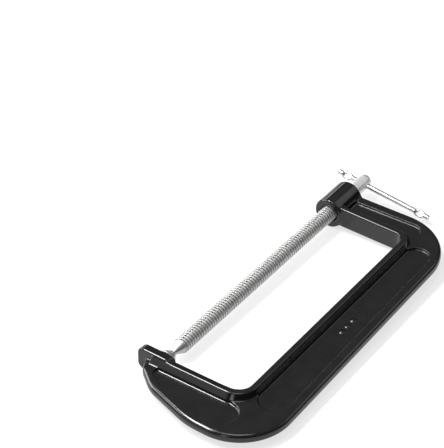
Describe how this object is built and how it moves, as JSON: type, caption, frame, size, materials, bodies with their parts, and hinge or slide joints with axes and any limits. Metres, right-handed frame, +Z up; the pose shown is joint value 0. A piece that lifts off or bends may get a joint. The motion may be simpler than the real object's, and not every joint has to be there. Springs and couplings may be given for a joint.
{
  "type": "c-clamp",
  "caption": "Large cast C-clamp with a ribbed I-section frame, an acme screw through a round boss, a sliding tommy bar and a ball-jointed swivel pad.",
  "frame": {"origin": "on the anvil face, where the screw's centre line meets it, in the casting's mid-plane", "axes": "+Y along the screw from the anvil to the tommy bar, +X into the throat towards the spine, +Z up through the casting's thickness, so the clamp lies flat"},
  "size_m": [0.1701, 0.4028, 0.032],
  "materials": {
    "frame_enamel": "glossy black enamel over a sand casting",
    "plated_steel": "bright zinc plate"
  },
  "bodies": {
    "frame": {"frame": "frame_enamel"},
    "tip": {"ball_tip": "plated_steel"},
    "screw": {"screw": "plated_steel"},
    "pad": {"swivel_pad": "plated_steel"},
    "bar": {"tommy_bar": "plated_steel"}
  },
  "joints": [
    {"name": "screw_travel", "type": "slide", "parent": "frame", "child": "tip", "axis": [0, 1, 0], "range_m": [0, 0.2519]},
    {"name": "screw_turn", "type": "hinge", "parent": "tip", "child": "screw", "pos_m": [0, 0.1, 0], "axis": [0, 1, 0], "range_deg": [0, 25910]},
    {"name": "pad_swivel", "type": "hinge", "parent": "tip", "child": "pad", "pos_m": [0, 0.0082, 0], "axis": [0, 0, 1], "range_deg": [-8, 8]},
    {"name": "bar_slide", "type": "slide", "parent": "screw", "child": "bar", "axis": [0.9943, 0, -0.1063], "range_m": [-0.057, 0.005]}
  ],
  "couplings": [
    {"joint": "screw_turn", "follows": "screw_travel", "rad_per_m": 1795.2}
  ]
}
